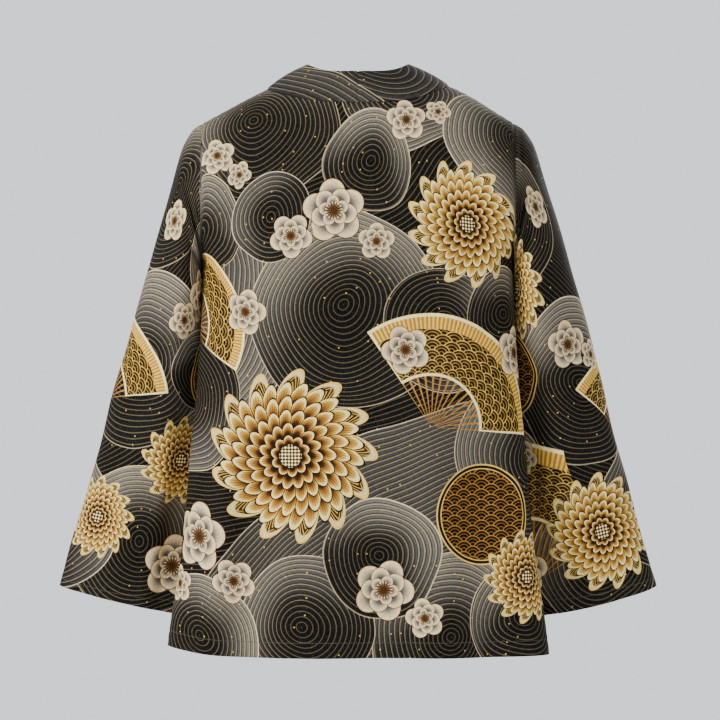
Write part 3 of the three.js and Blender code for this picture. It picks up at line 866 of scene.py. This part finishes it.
def medallions(point, under, motifs):
    """Round fields of waves with a double rim."""
    disc = topmost(point, motifs)
    fill = scale_colour(disc["x"], disc["y"], GROUND, DARK_BROWN, AMBER)
    inwards = disc["radius"] - disc["away"]
    fill = lay(inwards.rise(7.2, 6.4), fill, DARK_BROWN)
    fill = lay(inwards.rise(2.2, 1.6) + abs(inwards - 6.2).rise(0.9, 0.4), fill, GOLD)
    return lay(disc["share"] < 1.0, under, fill)


FAN_HALF_ANGLE = 1.12
FAN_PLEATS = 6.25
FAN_LEAF_START = 0.46
FAN_LEAF_END = 0.985


def fans(point, under, motifs):
    """Folding fans: a pleated leaf of waves between gold edges, over bare ribs."""
    fan = topmost(point, motifs)
    angle = fan["angle"].math("WRAP", math.pi, -math.pi)
    open_arc = abs(angle) < FAN_HALF_ANGLE
    share, away, radius = fan["share"], fan["away"], fan["radius"]
    fill = scale_colour(angle * (radius * 0.72), away, DARK_BROWN, BROWN, GOLD)
    pleats = (angle * FAN_PLEATS).swing(0.5) * 2.0
    fill = lay(pleats * 0.45, fill, DARK_BROWN)
    border = abs(share - FAN_LEAF_END).rise(0.018, 0.01) + abs(share - FAN_LEAF_START).rise(0.018, 0.01)
    border = border + abs(abs(angle) - FAN_HALF_ANGLE + 0.012).rise(0.014, 0.008)
    band = share.rise(0.86, 0.865)
    fill = lay(band, fill, lay((angle * 25.0).swing(0.5).rise(0.2, 0.3), AMBER, GOLD))
    fill = lay(border.math("MINIMUM", 1.0), fill, PALE_GOLD)
    ribs = (angle * FAN_PLEATS).swing(0.5).rise(0.16, 0.1)
    fill = lay(share < 0.45, fill, AMBER)
    shown = open_arc * (share < 1.0) * share.rise(0.449, 0.45).math("MAXIMUM", ribs)
    return lay(shown * (share > 0.04), under, fill)


def petals(flower, rings, curl=0.0):
    """The petal on top at a point: how far out along it, how far from its middle line, and its ring."""
    out, aside, layer = 9.0, 0.0, 0.0
    angle = flower["angle"] + flower["share"] * curl if curl else flower["angle"]
    for number, (count, reach, blunt, shift) in enumerate(rings):
        off = abs((angle * (count / TAU) + shift).part() - 0.5)
        tip = reach - (off * off) * (reach * blunt * 4)
        place = flower["share"] / tip
        held = place < 1.0
        out = mix(held, out, place)
        aside = mix(held, aside, off)
        layer = mix(held, layer, float(number))
    return out, aside, layer


# Rings of petals as their number, reach, bluntness and turn, from the outer ring in. Bluntness is the share
# of its reach that a petal loses at its side.
GOLD_RINGS = (
    (13, 1.0, 0.42, 0.0),
    (26, 0.86, 0.16, 0.25),
    (23, 0.7, 0.17, 0.6),
    (19, 0.54, 0.18, 0.1),
    (15, 0.385, 0.2, 0.7),
    (10, 0.24, 0.22, 0.35),
)


def gold_flowers(point, under, motifs):
    """Chrysanthemums with rings of veined, curling petals over dark pointed leaves."""
    flower = topmost(point, motifs)
    out, aside, layer = petals(flower, GOLD_RINGS, curl=0.55)
    glow = (out - 0.66) * 2.8 + (flower["tone"] - 0.5) * 0.5
    fill = shades(
        glow, (0.0, DARK_BROWN), (0.22, BROWN), (0.5, AMBER), (0.74, GOLD), (1.0, PALE_GOLD)
    )
    veins = aside.swing(0.085).rise(0.03, 0.012)
    fill = lay(veins * 0.7, fill, BROWN)
    leaf = layer < 0.5
    leaf_fill = shades(out, (0.55, DARK_BROWN), (1.0, BROWN))
    leaf_veins = (aside * 2.0 + out * 3.4).swing(0.11).rise(0.045, 0.02)
    leaf_fill = lay(leaf_veins * 0.75, leaf_fill, GOLD)
    fill = lay(leaf, fill, leaf_fill)
    tip_glow = out.rise(0.9, 0.93) * aside.rise(0.46, 0.4)
    fill = lay(tip_glow * 0.65, fill, PALE_GOLD)
    outline = out.rise(0.965, 0.98).math("MAXIMUM", aside.rise(0.445, 0.475))
    fill = lay(outline, fill, lay(leaf, DARK_BROWN, GOLD))
    heart = flower["share"] < 0.13
    seeds = (flower["x"].swing(2.2) * flower["y"].swing(2.2)).rise(0.9, 1.8)
    fill = lay(heart, fill, lay(seeds, BROWN, PALE_GOLD))
    return lay(out < 1.0, under, fill)


CREAM_RINGS = (
    (5, 1.0, 0.3, 0.0),
    (5, 0.74, 0.32, 0.5),
    (5, 0.48, 0.34, 0.0),
)


def cream_flowers(point, under, motifs):
    """Camellias with three rings of round petals, shaded to their base, and a ring of stamens."""
    flower = topmost(point, motifs)
    out, aside, _ = petals(flower, CREAM_RINGS)
    fill = shades(out, (0.36, GROUND), (0.62, CREAM_SHADE), (0.92, CREAM), (1.0, CREAM))
    rays = (flower["angle"] * (40 / TAU)).swing(0.5).rise(0.16, 0.07) * out.rise(0.95, 0.5)
    fill = lay(rays * 0.55, fill, CREAM_SHADE)
    outline = out.rise(0.955, 0.975).math("MAXIMUM", aside.rise(0.462, 0.485))
    fill = lay(outline, fill, BROWN)
    rim = abs(out - 0.93).rise(0.02, 0.01)
    fill = lay(rim * 0.8, fill, GOLD)
    stamens = (flower["angle"] * (16 / TAU)).swing(0.5).rise(0.2, 0.12)
    heart = shades(flower["share"], (0.1, BROWN), (0.2, AMBER), (0.26, PALE_GOLD))
    fill = lay((flower["share"] < 0.27) * (stamens.math("MAXIMUM", flower["share"] < 0.12)), fill, heart)
    return lay(out < 1.0, under, fill)


def gold_specks(point, under):
    """Sprinkled gold: small flecks, thinly scattered."""
    cells = Signal.tree.nodes.new("ShaderNodeTexVoronoi")
    cells.voronoi_dimensions = "2D"
    cells.inputs["Scale"].default_value = 1 / SPECK_SPACING
    Signal.tree.links.new(point.socket, cells.inputs["Vector"])
    near = Signal(cells.outputs["Distance"]).rise(0.085, 0.06)
    chosen = split(Signal(cells.outputs["Color"]))[0] > 0.88
    return lay(near * chosen * 0.8, under, GOLD)


def noise(point, scale, detail=2.0, stretch=(1.0, 1.0, 1.0)):
    place = vector_math("MULTIPLY", point, tuple(scale * s for s in stretch))
    return Signal.node("ShaderNodeTexNoise", ("Vector", place), ("Scale", 1.0), ("Detail", detail))


def warped(point):
    """The point moved to and fro, so that rings and rims are drawn with an uneven hand."""
    inputs = ("Vector", point), ("Scale", 1 / DRIFT_LENGTH), ("Detail", 0.5)
    drift = Signal.node("ShaderNodeTexNoise", *inputs, output=1)
    drift = vector_math("SUBTRACT", drift, (0.5, 0.5, 0.5))
    return vector_math("ADD", point, vector_math("MULTIPLY", drift, (DRIFT_REACH, DRIFT_REACH, 0.0)))


def stitches(point, under, height):
    """A line of running stitches at a height above the hem or the cuff."""
    across, up, _ = split(point)
    lengths = (across / STITCH_LENGTH).swing(0.5).rise(0.12, 0.16)
    return lay(abs(up - height).rise(0.5, 0.3) * lengths, under, THREAD)


def cloth_material(name, prints, soak=0.0):
    """Matte cotton with a print and the weave's grain. soak is how much of the print is lost."""
    material = bpy.data.materials.new(name)
    material.use_nodes = True
    tree = material.node_tree
    tree.nodes.clear()
    Signal.tree = tree
    output = tree.nodes.new("ShaderNodeOutputMaterial")
    shader = tree.nodes.new("ShaderNodeBsdfPrincipled")
    tree.links.new(shader.outputs[0], output.inputs[0])
    cloth = tree.nodes.new("ShaderNodeUVMap")
    cloth.uv_map = "cloth"
    at = vector_math("MULTIPLY", Signal(cloth.outputs[0]), (1 / MM, 1 / MM, 0.0))
    uneven = warped(at)
    colour = ripples(uneven, prints["ripples"], prints.get("spacing", RING_SPACING))
    colour = gold_specks(uneven, colour)
    if "medallions" in prints:
        colour = medallions(at, colour, prints["medallions"])
    if "fans" in prints:
        colour = fans(at, colour, prints["fans"])
    colour = gold_flowers(at, colour, prints["gold"])
    colour = cream_flowers(at, colour, prints["cream"])
    if soak:
        colour = lay(soak, colour, REVERSE)
    if "stitches" in prints:
        colour = stitches(at, colour, prints["stitches"])
    warp = noise(at, 1.0, 2.0, (1.1, 0.16, 0.0))
    weft = noise(at, 1.0, 2.0, (0.14, 1.2, 0.0))
    grain = warp + weft
    crinkle = noise(at, 1 / CRINKLE_SIZE, 3.0) * CRINKLE_HEIGHT
    colour = lay(grain.rise(1.25, 0.8) * 0.28, colour, GROUND)
    colour = lay(grain.rise(1.0, 1.3) * 0.02, colour, CREAM)
    tree.links.new(colour.socket, shader.inputs["Base Color"])
    for socket, value in COTTON.items():
        shader.inputs[socket].default_value = value
    bump = tree.nodes.new("ShaderNodeBump")
    bump.inputs["Strength"].default_value = 0.5
    bump.inputs["Distance"].default_value = BUMP_HEIGHT * MM
    tree.links.new((grain + crinkle).socket, bump.inputs["Height"])
    tree.links.new(bump.outputs[0], shader.inputs["Normal"])
    return material


# Motifs as x, y, radius, turn in degrees, tone, in millimetres on each piece of cloth. x runs to the right
# as the outside is seen, and y up from the hem or the cuff. On the panels x is 0 in the middle of the piece,
# and on a sleeve in the middle of its back. On the band x runs across it from its seam, and y along it from
# the middle of the back, to the left where it is above 0. Later rows lie over earlier ones.
BACK_PRINT = {
    "stitches": HEM_WIDTH - STITCH_INSET,
    "ripples": (
        (-420, 1250, 2200, -60, 0.3),
        (300, -260, 620, -70, 0.55),
        (-330, 470, 250, 20, 0.8),
        (-150, 700, 120, -130, 1.0),
        (70, 745, 95, 60, 0.8),
        (235, 700, 110, 150, 0.9),
        (-15, 452, 128, -100, 1.0),
        (-250, 330, 100, 110, 0.75),
        (250, 270, 120, -160, 0.85),
        (120, 30, 105, -80, 1.0),
        (-70, 40, 90, -120, 0.8),
        (30, 130, 78, -60, 0.95),
        (-235, 560, 74, -90, 0.95),
        (112, 430, 80, 10, 0.7),
        (-215, 20, 84, -40, 1.0),
        (225, 50, 74, -110, 0.9),
        (12, 645, 66, -70, 1.0),
        (-120, 575, 58, -150, 0.7),
        (205, 450, 62, -50, 0.9),
    ),
    "medallions": ((168, 186, 66, 0, 0),),
    "fans": ((95, 300, 148, -60, 0), (-262, 420, 112, -38, 0)),
    "gold": ((-88, 262, 114, 10, 0.5), (148, 566, 84, 40, 0.6), (232, 104, 62, 80, 0.45)),
    "cream": (
        (-32, 580, 43, 12, 0),
        (-88, 548, 30, 50, 0),
        (24, 540, 25, 20, 0),
        (62, 400, 33, 66, 0),
        (226, 398, 37, 30, 0),
        (265, 350, 26, 75, 0),
        (-222, 150, 46, 24, 0),
        (-168, 98, 30, 60, 0),
        (-258, 84, 25, 8, 0),
        (34, 88, 41, 40, 0),
        (88, 52, 27, 5, 0),
        (-150, 448, 31, 33, 0),
        (70, 700, 30, 12, 0),
        (116, 716, 20, 40, 0),
        (-205, 655, 28, 5, 0),
        (-172, 628, 19, 44, 0),
    ),
}
FRONT_PRINT = {
    "stitches": HEM_WIDTH - STITCH_INSET,
    "ripples": (
        (300, 1200, 2100, -60, 0.35),
        (-90, 560, 150, 20, 0.8),
        (40, 700, 90, 150, 0.9),
        (60, 420, 100, -110, 0.9),
        (-40, 290, 95, -60, 0.8),
        (90, 180, 90, -90, 0.9),
        (-50, 60, 100, -120, 1.0),
        (30, 610, 50, -40, 1.0),
    ),
    "medallions": ((72, 300, 58, 0, 0),),
    "fans": ((-36, 500, 128, -70, 0),),
    "gold": ((20, 165, 92, 20, 0.5), (64, 690, 56, 70, 0.5)),
    "cream": (
        (-40, 400, 40, 12, 0),
        (5, 368, 28, 50, 0),
        (85, 485, 32, 20, 0),
        (-60, 70, 36, 5, 0),
        (88, 44, 30, 0, 0),
        (-40, 660, 32, 0, 0),
    ),
}
LEFT_SLEEVE_PRINT = {
    "stitches": CUFF_HEM_WIDTH - STITCH_INSET,
    "ripples": (
        (-500, 900, 1900, -60, 0.35),
        (-60, 560, 110, -100, 0.9),
        (110, 470, 90, 150, 0.8),
        (-45, 330, 120, -60, 1.0),
        (110, 200, 95, -120, 0.9),
        (5, 90, 105, -80, 1.0),
        (-120, 90, 90, -40, 0.8),
        (-170, 300, 84, -110, 0.9),
        (60, 330, 52, -70, 1.0),
        (-300, 520, 110, -50, 0.8),
        (-260, 330, 100, -100, 1.0),
        (-340, 190, 100, -60, 0.8),
        (-230, 80, 95, -130, 0.9),
    ),
    "medallions": ((98, 322, 54, 0, 0),),
    "fans": ((-105, 262, 118, -80, 0), (-330, 60, 130, -100, 0)),
    "gold": ((46, 205, 60, 30, 0.5), (-62, 110, 56, 0, 0.5), (-262, 420, 74, 0, 0.5)),
    "cream": (
        (62, 425, 38, 12, 0),
        (18, 394, 27, 50, 0),
        (58, 62, 44, 20, 0),
        (106, 36, 30, 66, 0),
        (-40, 520, 30, 9, 0),
        (-300, 262, 38, 0, 0),
        (-255, 236, 26, 30, 0),
        (-190, 180, 32, 50, 0),
    ),
}
RIGHT_SLEEVE_PRINT = {
    "stitches": CUFF_HEM_WIDTH - STITCH_INSET,
    "ripples": (
        (500, 900, 1900, -60, 0.35),
        (-40, 540, 110, -120, 0.9),
        (-110, 400, 90, -60, 0.9),
        (44, 300, 110, -80, 1.0),
        (-110, 160, 95, -40, 0.9),
        (20, 60, 90, -110, 0.9),
        (130, 120, 90, -70, 0.8),
        (260, 500, 110, 160, 0.8),
        (330, 330, 100, -60, 1.0),
        (240, 240, 90, -100, 0.9),
        (320, 90, 100, -130, 0.8),
    ),
    "medallions": ((-78, 322, 58, 0, 0), (256, 180, 60, 0, 0)),
    "fans": ((-75, 40, 190, -90, 0), (112, 210, 112, -70, 0)),
    "gold": ((-58, 438, 72, 30, 0.55), (34, 96, 80, 12, 0.6), (268, 400, 78, 0, 0.5)),
    "cream": (
        (-104, 236, 36, 12, 0),
        (-66, 210, 25, 50, 0),
        (36, 352, 34, 20, 0),
        (76, 330, 22, 44, 0),
        (40, 540, 30, 9, 0),
        (-84, 60, 34, 30, 0),
        (318, 280, 36, 0, 0),
        (180, 60, 32, 0, 0),
        (222, 90, 22, 20, 0),
    ),
}
BAND_PRINT = {
    "spacing": BAND_RING_SPACING,
    "ripples": (
        (700, 100, 2400, 0, 0.4),
        (150, -60, 190, 170, 0.42),
        (-90, 90, 150, 10, 0.45),
        (170, 330, 180, 170, 0.6),
        (-110, 520, 170, 10, 0.5),
        (170, 760, 180, 170, 0.6),
        (-120, -300, 190, 10, 0.5),
        (180, -520, 190, 170, 0.6),
        (-110, -760, 180, 10, 0.5),
    ),
    "gold": ((34, 420, 32, 30, 0.5), (24, -640, 30, 0, 0.5)),
    "cream": ((20, 560, 20, 12, 0), (42, 590, 15, 50, 0), (36, -430, 20, 0, 0)),
}


def declare(piece, node):
    """Hangs a piece of cloth on the root body and hides the solid that it stands for."""
    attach(piece, "root")
    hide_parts(node)


def outward_of(grid, towards):
    """A grid's outward directions, where towards points outwards somewhere in its middle."""
    normals = grid_normals(grid)
    i, j = grid.shape[0] // 2, grid.shape[1] // 2
    return normals * np.sign(normals[i, j] @ np.asarray(towards(grid[i, j]), float))


def both_sides(name, prints):
    """The materials of a cloth's outside and of its reverse, where the print shows through faintly."""
    outside = cloth_material(f"{name}_print", prints)
    return outside, cloth_material(f"{name}_reverse", prints, REVERSE_SOAK)


def sew_directions(side, back_out, front_out, band_out):
    """Shares the outward directions along one side's seams, and levels them beside the armhole."""
    middle = (len(back_out) - 1) // 2
    neck = len(NECK_PLACES) - 1
    above_armpit = len(TURN_PLACES) + len(UPPER_PLACES) - 1
    to_side = back_out[middle:] if side > 0 else back_out[middle::-1]
    share_directions(to_side[:neck, 0], band_out[:neck, 0])
    share_directions(to_side[neck:, 0], front_out[:, 0])
    share_directions(front_out[0], band_out[neck:, 0])
    share_directions(to_side[neck, 0], front_out[0, 0], band_out[neck, 0])
    share_directions(to_side[-1], front_out[-1])
    level_direction(to_side[-1, :above_armpit])
    level_direction(front_out[-1, :above_armpit])
    level_direction(band_out[0])


def make_back(grid, out):
    places = panel_place(grid, (len(grid) - 1) // 2) * (-1, 1)
    grid = seam_relief(grid, out, ("start", "end", "top"))
    grid = hem_relief(grid, out, HEM_WIDTH)
    piece = cloth_piece("back_cloth", grid, places, CLOTH, out, both_sides("back", BACK_PRINT))
    declare(piece, "back_panel")


def make_front(side, label, grid, out, materials):
    places = panel_place(grid, len(grid) // 2) * (side, 1)
    grid = seam_relief(grid, out, ("start", "end", "top"))
    grid = hem_relief(grid, out, HEM_WIDTH)
    piece = cloth_piece(f"front_cloth_{label}", grid, places, CLOTH, out, materials)
    declare(piece, f"front_panel_{label}")


def make_band(side, label, grid, out, material):
    places = band_place(grid) * (1, side)
    grid = seam_relief(grid, out, ("top", "start")) + out * BAND_STEP
    piece = cloth_piece(f"collar_cloth_{label}", grid, places, BAND_CLOTH, out, [material])
    declare(piece, f"collar_band_{label}")


def make_sleeve(side, label, folds, creases, prints):
    grid = armhole_trough(sleeve_grid(side, folds, creases))
    axis = grid[len(grid) // 2].mean(0)
    out = outward_of(grid, lambda point: point - axis)
    level_direction(out, smooth(0, ARMHOLE_LEVEL_REACH, run_lengths(grid, 0)))
    out[:, 0] = out[:, -1] = (out[:, 0] + out[:, -1]) / 2
    places = ring_place(grid) * (-side, 1)
    grid = seam_relief(grid, out, ("start",))
    grid = hem_relief(grid, out, CUFF_HEM_WIDTH, axis=0)
    materials = both_sides(f"sleeve_{label}", prints)
    piece = cloth_piece(f"sleeve_cloth_{label}", grid, places, CLOTH, out, materials, closed=True)
    declare(piece, f"sleeve_{label}")


def make_jacket():
    front_materials = both_sides("front", FRONT_PRINT)
    band_material = cloth_material("band_print", BAND_PRINT)
    back = back_grid()
    back_out = outward_of(back, lambda point: (0, 1, 0))
    sides = []
    for side, label in ((1, "left"), (-1, "right")):
        front, band = front_grid(side), band_grid(side)
        front_out = outward_of(front, lambda point: (0, -1, 0))
        band_out = outward_of(band, lambda point: (0, -1, 0))
        sew_directions(side, back_out, front_out, band_out)
        sides.append((side, label, front, front_out, band, band_out))

    make_back(back, back_out)
    for side, label, front, front_out, band, band_out in sides:
        make_front(side, label, front, front_out, front_materials)
        make_band(side, label, band, band_out, band_material)
    make_sleeve(1, "left", LEFT_SLEEVE_FOLDS, LEFT_SLEEVE_CREASES, LEFT_SLEEVE_PRINT)
    make_sleeve(-1, "right", RIGHT_SLEEVE_FOLDS, RIGHT_SLEEVE_CREASES, RIGHT_SLEEVE_PRINT)


def plain_material(name, colour, roughness):
    material = bpy.data.materials.new(name)
    material.use_nodes = True
    shader = material.node_tree.nodes["Principled BSDF"]
    shader.inputs["Base Color"].default_value = colour
    shader.inputs["Roughness"].default_value = roughness
    return material


def area_light(name, place, target, size, power):
    light = bpy.data.lights.new(name, "AREA")
    light.shape = "DISK"
    light.size = size
    light.energy = power
    lamp = bpy.data.objects.new(name, light)
    bpy.context.scene.collection.objects.link(lamp)
    lamp.location = place
    aim(lamp, target)


def aim(thing, target):
    """Turns a lamp or camera to face a point."""
    way = Vector(target) - thing.location
    thing.rotation_euler = way.to_track_quat("-Z", "Y").to_euler()


# The photo's frame: its scale on the jacket, the pixel where the jacket's origin shows, and the place of the
# frame's middle. The view is from behind, so a pixel further right lies at a smaller X.
FRAME_PIXELS = 720
PIXEL_SIZE = 1.32 * MM
ORIGIN_PIXEL_X = 358
ORIGIN_PIXEL_Y = 91
FRAME_MIDDLE = (
    (ORIGIN_PIXEL_X - FRAME_PIXELS / 2) * PIXEL_SIZE,
    0.0,
    (ORIGIN_PIXEL_Y - FRAME_PIXELS / 2) * PIXEL_SIZE,
)
CAMERA_DISTANCE = 5.2
SENSOR = 36.0

# The studio, in metres and watts. Lamps are rows of name, place, size, power.
FLOOR_SIZE = 6
FLOOR_Z = -1.15
BACKDROP_LIGHT = 1.8
LAMP_TARGET = (0, 0, -0.35)
LAMPS = (
    ("key", (2.9, 2.5, 1.5), 1.3, 250),
    ("fill", (-2.6, 2.4, 0.4), 2.2, 12),
    ("front", (-1.6, -3.0, 1.2), 1.8, 130),
)


def make_studio():
    bpy.ops.object.select_all(action="DESELECT")
    bpy.ops.mesh.primitive_plane_add(size=FLOOR_SIZE, location=(0, 0, FLOOR_Z))
    floor = bpy.context.object
    floor.name = "floor"
    floor.data.materials.append(plain_material("pale_floor", srgb("cbcdd0"), 0.9))
    world = bpy.data.worlds.new("studio")
    bpy.context.scene.world = world
    world.use_nodes = True
    background = world.node_tree.nodes["Background"]
    background.inputs["Color"].default_value = srgb("d3d6da")
    background.inputs["Strength"].default_value = BACKDROP_LIGHT
    for name, place, size, power in LAMPS:
        area_light(name, place, LAMP_TARGET, size, power)


def make_camera():
    camera_data = bpy.data.cameras.new("camera")
    camera_data.sensor_width = SENSOR
    camera_data.lens = SENSOR * CAMERA_DISTANCE / (FRAME_PIXELS * PIXEL_SIZE)
    camera = bpy.data.objects.new("camera", camera_data)
    bpy.context.scene.collection.objects.link(camera)
    camera.location = (FRAME_MIDDLE[0], CAMERA_DISTANCE, FRAME_MIDDLE[2])
    aim(camera, FRAME_MIDDLE)
    bpy.context.scene.camera = camera


make_jacket()
make_studio()
make_camera()
